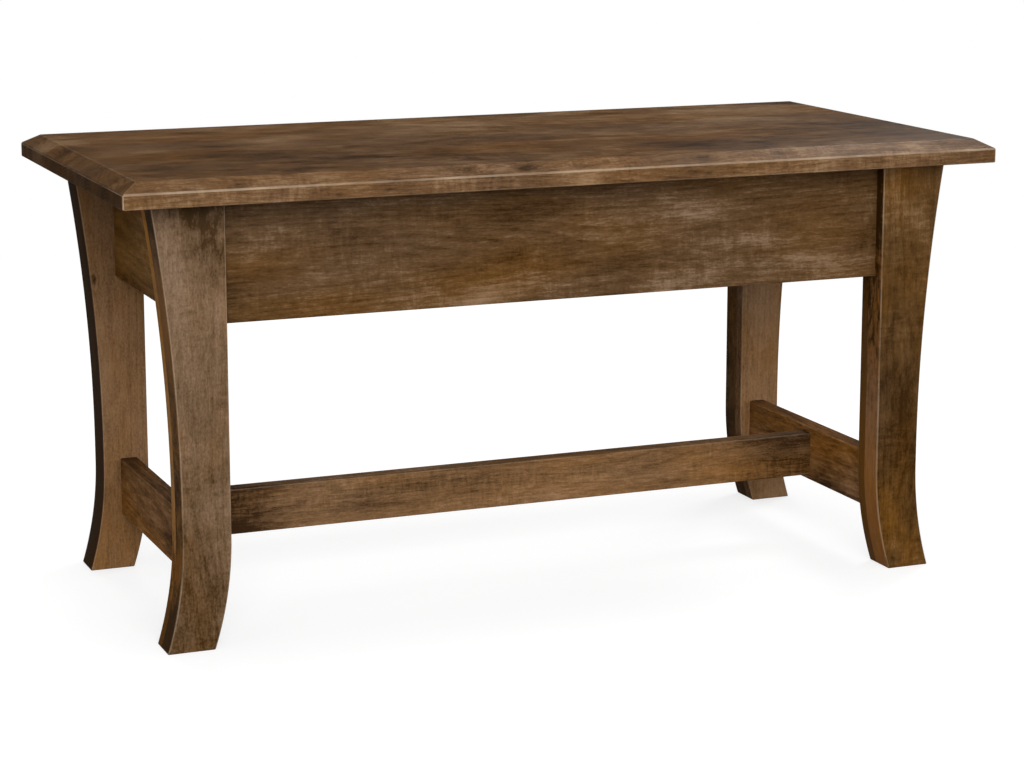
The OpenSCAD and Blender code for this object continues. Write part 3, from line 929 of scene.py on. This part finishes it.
# Mostly darker above, near the seat, and paler below
APRON_BLOTCHES = blotches(
    -0.1615, (-0.04, 0.390, 0.055, 0.22), (0.22, 0.40, 0.045, 0.14),
    (0.13, 0.325, 0.04, -0.25), (0.28, 0.345, 0.05, -0.16), (-0.29, 0.365, 0.04, -0.16),
    (-0.30, 0.420, 0.05, -0.14))
DARK_SPOT = blotches(-0.01, (-0.31, 0.10, 0.08, 0.2))
PALE_END = blotches(0.0, (0.38, 0.09, 0.15, -0.14))
# Half of a rail's length between its joints, for those along the bench and those across it
JOINT_REACH = {"x": 0.35, "y": 0.136}
RAILS = {
    "apron_front": dict(
        grain="x", browns=APRON_BROWNS, seed=21, heart=(0, -0.10, 0.36), eyes=APRON_BLOTCHES),
    "apron_rear": dict(grain="x", browns=APRON_BROWNS, seed=22, heart=(0, 0.10, 0.39)),
    "apron_left": dict(
        grain="y", browns=WARM_BROWNS, seed=23, heart=(-0.30, 0, 0.37), Turn=0.8),
    "apron_right": dict(grain="y", browns=APRON_BROWNS, seed=24, heart=(0.30, 0, 0.36)),
    "stretcher_left": dict(
        grain="y", browns=END_BROWNS, seed=25, heart=(-0.33, 0, 0.08), Curl=0.08, Clouds=0.45,
        Lines=0.4, Edge_Tone=-0.18),
    "stretcher_right": dict(
        grain="y", browns=END_BROWNS, seed=26, heart=(0.33, 0, 0.10), Curl=0.06, Clouds=0.5,
        Lines=0.42, Edge_Tone=-0.18, eyes=PALE_END),
    "stretcher_long": dict(
        grain="x", browns=STRETCHER_BROWNS, seed=27, heart=(0, 0.05, 0.08), Lines=0.25,
        Clouds=0.24, Rings=0.14, Joint_Stain=0.4, eyes=DARK_SPOT),
}
for node, look in RAILS.items():
    look = {"Clouds": 0.29, "Lines": 0.3, "Flecks": 0.1, "Rings": 0.2, "Curl": 0.16,
            "Turn": 0.25, "WearAndHighlight": 0.1, "Joint_Stain": 0.12,
            "Joint_Reach": JOINT_REACH[look["grain"]], "Cloud_Stretch": (0.8, 1.7, 1.7), **look}
    board_from_cad(node, rail_edge_weight, board_material("stained_" + node, **look))

# %% [markdown]
# ## Corner blocks
# Inside, where the stain doesn't reach, a block of bare maple is glued and screwed into each
# corner of the aprons. It can be seen from below. The same wood group makes it, in pale colours.

# %% Corner blocks
PALE = ("#a98560", "#c9a67c", "#dcbf98", "#cfa677")
BLOCK_EASE = 0.7
HOLE_EDGE = 0.012


def block_edge_weight(edge):
    """Every edge but those of the screw holes, and those against the seat."""
    against_seat = min(vertex.co.z for vertex in edge.verts) > SEAT_UNDER - NEAR
    return BLOCK_EASE if edge.calc_length() > HOLE_EDGE and not against_seat else 0.0


bare_maple = board_material("bare_maple", "x", seed=31, browns=PALE, heart=(0, 0, 0.35),
                            Clouds=0.12, Lines=0.2, Rings=0.2, End_Stain=0.12)
for place in ("front_left", "front_right", "rear_left", "rear_right"):
    board_from_cad("corner_block_" + place, block_edge_weight, bare_maple)

# %% [markdown]
# ## Zinc-plated steel
# The screws and clips are plated: bright, a little yellow, with faint mottling where the crystals
# of zinc differ. The metal itself is one number, and noise varies its colour and roughness.

# %% The zinc material
def zinc_material():
    material, tree, shader = new_material("zinc_plate")
    place = lay(tree, "ShaderNodeTexCoord")["Object"]
    mottle = clamped(drawn_noise(place, (350, 350, 350), detail=4.0) * 2.0 + 0.5)
    fill(shader.inputs, {
        "Base Color": blend_colours(mottle, srgb("#a8a79a"), srgb("#c9c7bb")),
        "Roughness": mottle * 0.18 + 0.26, "Metallic": 1.0})
    return material


ZINC = zinc_material()
print("Metal:", ZINC.name)

# %% [markdown]
# ## The screws
# Eighteen wood screws hold the bench together: three in each corner block, and one in each seat
# clip. They repeat, so Geometry Nodes make one screw, with a domed head, a cross recess and a
# thread swept along a helix, and put it on a set of points. Each point carries its aim.

# %% The screw tree
CORE_SHARE = 0.36
RIDGE_SHARE = 0.13
DOME_DROP = 0.28
RECESS_BARS = ((0.0042, 0.0011, 0.0030), (0.0011, 0.0042, 0.0030))
POINT_LENGTH = 0.004
POINT_SHARE = 0.12
THREAD_START = 0.002
THREAD_SHORT = 0.006


def lathe(mesh, radius_of):
    """Moves each point of a unit cylinder in or out, to the radius that its height asks for."""
    x, y, z = point_places(mesh.tree)
    radius = radius_of(z)
    return set_places(mesh, vector(x * radius, y * radius, z))


def screw_form(tree, have):
    """One screw along +Z, with the bearing face of its head on z = 0."""
    height, length = have["Head Height"], have["Length"]
    core = have["Diameter"] * CORE_SHARE
    head = lay(tree, "GeometryNodeMeshCylinder", {
        "Vertices": 32, "Side Segments": 6, "Fill Segments": 3, "Radius": 1.0,
        "Depth": height}, fill_type="TRIANGLE_FAN")["Mesh"]
    head = lathe(moved(head, vector(z=height * -0.5)), lambda z: (
        have["Head Diameter"] * 0.5 * (1.0 - (-z / height) ** 4.0 * DOME_DROP)))
    bars = [lay(tree, "GeometryNodeMeshCube", {"Size": size})["Mesh"] for size in RECESS_BARS]
    head = cut_from(head, [moved(bar, vector(z=-height)) for bar in bars])
    # The core is a little thinner than the thread and runs to a point
    shank = lay(tree, "GeometryNodeMeshCylinder", {
        "Vertices": 20, "Side Segments": 24, "Radius": 1.0, "Depth": length})["Mesh"]
    shank = lathe(moved(shank, vector(z=length * 0.5)), lambda z: core * calc(
        "MAXIMUM", calc("MINIMUM", (length - z) / POINT_LENGTH, 1.0), POINT_SHARE))
    run = length - THREAD_SHORT
    helix = lay(tree, "GeometryNodeCurveSpiral", {
        "Resolution": 16, "Rotations": run / have["Pitch"], "Start Radius": core,
        "End Radius": core, "Height": run})[0]
    ridge = lay(tree, "GeometryNodeCurvePrimitiveCircle", {
        "Resolution": 4, "Radius": have["Diameter"] * RIDGE_SHARE})[0]
    thread = swept(moved(helix, (0, 0, THREAD_START)), ridge)
    return lay(tree, "GeometryNodeJoinGeometry", {0: [head, shank, thread]})[0]


def screw_tree():
    tree, have, leave = start_geometry("Wood screws", {
        "Diameter": 0.0042, "Length": 0.032, "Head Diameter": 0.0082, "Head Height": 0.0028,
        "Pitch": 0.0018})
    finish_geometry(have, leave, on_aimed_points(tree, have, screw_form(tree, have), "Z"))
    return tree


WOOD_SCREWS = screw_tree()
print(WOOD_SCREWS.name, "has", len(WOOD_SCREWS.nodes), "nodes")

# %% [markdown]
# The points are where the CAD model has its screws. One corner's three places are written once,
# and mirroring gives the other three corners. The clips sit at the middle of the end aprons and
# twice on each long one.

# %% Places of the screws and clips
def points_object(places):
    """Points with an aim: each place is a position and a direction."""
    mesh = bpy.data.meshes.new("points")
    mesh.from_pydata([position for position, _ in places], [], [])
    aims = mesh.attributes.new("aim", "FLOAT_VECTOR", "POINT")
    for item, (_, direction) in zip(aims.data, places):
        item.vector = direction
    return new_object("points", mesh)


CORNER_SCREWS = [((0.306, 0.1215, 0.4105), (0, 1, 0)), ((0.340, 0.092, 0.4105), (1, 0, 0)),
                 ((0.337, 0.123, 0.413), (0, 0, 1))]
BLOCK_PLACES = [((side * x, end * y, z), (side * a, end * b, c))
                for side in (-1, 1) for end in (-1, 1) for (x, y, z), (a, b, c) in CORNER_SCREWS]
# Where each clip leaves its apron, and the way that it points
CLIP_PLACES = [((x, end * 0.1415, SEAT_UNDER), (0, -end, 0)) for end in (-1, 1)
               for x in (-0.13, 0.13)]
CLIP_PLACES += [((side * 0.360, 0, SEAT_UNDER), (-side, 0, 0)) for side in (-1, 1)]
CLIP_SCREW_OUT = 0.015
CLIP_SHEET = 0.0016
CLIP_SCREW_PLACES = [
    (tuple(Vector(spot) + CLIP_SCREW_OUT * Vector(aim) - Vector((0, 0, CLIP_SHEET))), (0, 0, 1))
    for spot, aim in CLIP_PLACES]


def metal_pieces(node, places, tree, **sizes):
    """Grows a tree on its points and puts the result in the scene."""
    draft = points_object(places)
    add_tree(draft, tree, Material=ZINC, **sizes)
    mesh = plain_mesh(draft)
    piece = finish_piece(node + "_steel", mesh, ZINC, node)
    print(piece.name, "is", len(places), "pieces in", len(mesh.polygons), "faces")


metal_pieces("block_screws", BLOCK_PLACES, WOOD_SCREWS)
metal_pieces("clip_screws", CLIP_SCREW_PLACES, WOOD_SCREWS, Diameter=0.004, Length=0.016)

# %% [markdown]
# ## The seat clips
# Solid wood swells and shrinks across its grain, so the seat isn't glued to the aprons. Each clip
# is a strip of steel bent into a Z: one end is screwed under the seat, and the other slides in a
# slot in the apron. A strip is a path with a width, so a line through four points is rounded at
# its bends and swept with a thin rectangle.

# %% The clip tree
def clip_tree():
    tree, have, leave = start_geometry("Seat clips", {
        "Tab": 0.022, "Drop": 0.011, "Tongue": 0.008, "Sheet": CLIP_SHEET, "Width": 0.020,
        "Bend Radius": 0.0014, "Screw Out": CLIP_SCREW_OUT, "Hole": 0.0041})
    half = have["Sheet"] * 0.5
    top = -half
    foot = top - have["Drop"]
    corners = [(have["Tab"], top), (half, top), (half, foot), (-have["Tongue"], foot)]
    chosen = lay(tree, "GeometryNodeIndexSwitch", data_type="VECTOR")
    while len(chosen.node.index_switch_items) < len(corners):
        chosen.node.index_switch_items.new()
    fill(chosen.node.inputs, {"Index": lay(tree, "GeometryNodeInputIndex")[0]})
    fill(chosen.node.inputs, {str(n): vector(x=x, z=z) for n, (x, z) in enumerate(corners)})
    line = set_places(lay(tree, "GeometryNodeMeshLine", {"Count": len(corners)})[0], chosen[0])
    path = lay(tree, "GeometryNodeFilletCurve", {
        "Curve": lay(tree, "GeometryNodeMeshToCurve", {"Mesh": line})[0],
        "Radius": have["Bend Radius"], "Count": 6}, mode="POLY")[0]
    strip = lay(tree, "GeometryNodeCurvePrimitiveQuadrilateral", {
        "Width": have["Width"], "Height": have["Sheet"]})[0]
    drill = lay(tree, "GeometryNodeMeshCylinder", {
        "Vertices": 32, "Radius": have["Hole"] * 0.5, "Depth": 0.006})["Mesh"]
    clip = cut_from(swept(path, strip), moved(drill, vector(x=have["Screw Out"], z=top)))
    finish_geometry(have, leave, on_aimed_points(tree, have, clip, "X", pivot="Z"))
    return tree


metal_pieces("seat_clips", CLIP_PLACES, clip_tree())

# %% [markdown]
# ## Floor, backdrop and light
# The photograph was cut out on white. A pale floor close to white stands in for that, and it
# keeps the bench's own soft shadow. Far from the bench it turns pure white, like the backdrop,
# so that no horizon shows. This is only done for what the camera sees: the light that the floor
# throws back on the wood comes from its plain grey. In reflections both are turned down, because
# a satin board seen at a low angle mirrors them strongly, and the photograph's wood shows almost
# no such haze.

# %% Floor and backdrop
MIRRORED_BACKDROP = 0.05
FLOOR_GREY = 0.35
FLOOR_LIFT = 0.72
FADE_FROM, FADE_TO = 0.7, 2.2


def backdrop_strength(tree):
    """White for what the camera sees, also through glass, and much dimmer in reflections."""
    path = lay(tree, "ShaderNodeLightPath")
    seen = clamped(path["Is Camera Ray"] + path["Is Transmission Ray"])
    return path["Is Glossy Ray"] * MIRRORED_BACKDROP + seen


def floor_material():
    material, tree, shader = new_material("pale_floor")
    path = lay(tree, "ShaderNodeLightPath")
    dimmed = path["Is Glossy Ray"] * (FLOOR_GREY * (MIRRORED_BACKDROP - 1.0))
    fill(shader.inputs, {"Base Color": dimmed + FLOOR_GREY, "Roughness": 0.9})
    far = calc("LENGTH", lay(tree, "ShaderNodeTexCoord")["Object"])
    shown = backdrop_strength(tree)
    white = lay(tree, "ShaderNodeEmission", {"Strength": shown})[0]
    lift = lay(tree, "ShaderNodeEmission", {"Strength": shown * FLOOR_LIFT})[0]
    near = lay(tree, "ShaderNodeAddShader", {0: Term(shader.outputs[0]), 1: lift})[0]
    both = lay(tree, "ShaderNodeMixShader", {
        0: ramp(far, FADE_FROM, FADE_TO), 1: near, 2: white})[0]
    # Seen from beneath, the floor is left out, so that the bench's underside can be looked at
    beneath = lay(tree, "ShaderNodeNewGeometry")["Backfacing"] * path["Is Camera Ray"]
    clear = lay(tree, "ShaderNodeBsdfTransparent")[0]
    whole = lay(tree, "ShaderNodeMixShader", {0: beneath, 1: both, 2: clear})[0]
    fill(tree.nodes["Material Output"].inputs, {"Surface": whole})
    return material


FLOOR_HALF = 30.0
floor_mesh = bpy.data.meshes.new("floor")
floor_mesh.from_pydata([(x * FLOOR_HALF, y * FLOOR_HALF, 0) for x, y in
                        ((-1, -1), (1, -1), (1, 1), (-1, 1))], [], [(0, 1, 2, 3)])
floor_mesh.materials.append(floor_material())
floor = new_object("floor", floor_mesh)

# %% [markdown]
# The light is a plain studio's: an even sky for the shade, and a large soft lamp over the camera.
# So the front is brighter than the top, the ends are dim, and the seat throws only a thin shadow
# on the apron. A small sun would do for sharp shadows, but the photograph has soft ones. Weaker
# lamps do the rest. One stands low in front and evens the legs, one hangs over the seat, and one
# at the left lifts the ends. The one behind stands where the front bevel mirrors it, because in
# the photograph the bevel's right half shines. The last lights the bench's back, for views from
# there. The low lamp and this one give no shine, which would lie on dark boards as a grey haze.

# %% Sky and lamps
SKY = 0.45
LIT_MIDDLE = Vector((0, 0, 0.25))
world = bpy.data.worlds.new("studio")
bpy.context.scene.world = world
world.use_nodes = True
sky_tree = world.node_tree
lit = lay(sky_tree, "ShaderNodeLightPath")["Is Diffuse Ray"] * SKY
fill(sky_tree.nodes["Background"].inputs, {
    "Color": (1, 1, 1, 1), "Strength": backdrop_strength(sky_tree) + lit})


def soft_lamp(name, spot, width, height, power):
    """A rectangular lamp aimed at the middle of the bench."""
    data = bpy.data.lights.new(name, "AREA")
    data.shape = "RECTANGLE"
    data.size, data.size_y, data.energy = width, height, power
    lamp = new_object(name, data)
    aim(lamp, spot, LIT_MIDDLE - Vector(spot))
    lamp.visible_camera = False
    return lamp


soft_lamp("front_lamp", (-0.7, -3.3, 1.65), 2.4, 1.4, 96)
soft_lamp("low_lamp", (1.3, -3.0, 0.5), 1.2, 0.8, 16).visible_glossy = False
soft_lamp("top_lamp", (-0.2, -0.1, 2.7), 1.2, 0.8, 11)
soft_lamp("back_lamp", (1.18, 0.73, 1.41), 0.5, 0.4, 6.6)
soft_lamp("left_lamp", (-3.2, -1.6, 0.35), 0.6, 1.0, 18)
soft_lamp("rear_fill", (0.0, 3.2, 1.3), 2.0, 1.2, 45).visible_glossy = False
bpy.context.scene.view_settings.view_transform = "Standard"
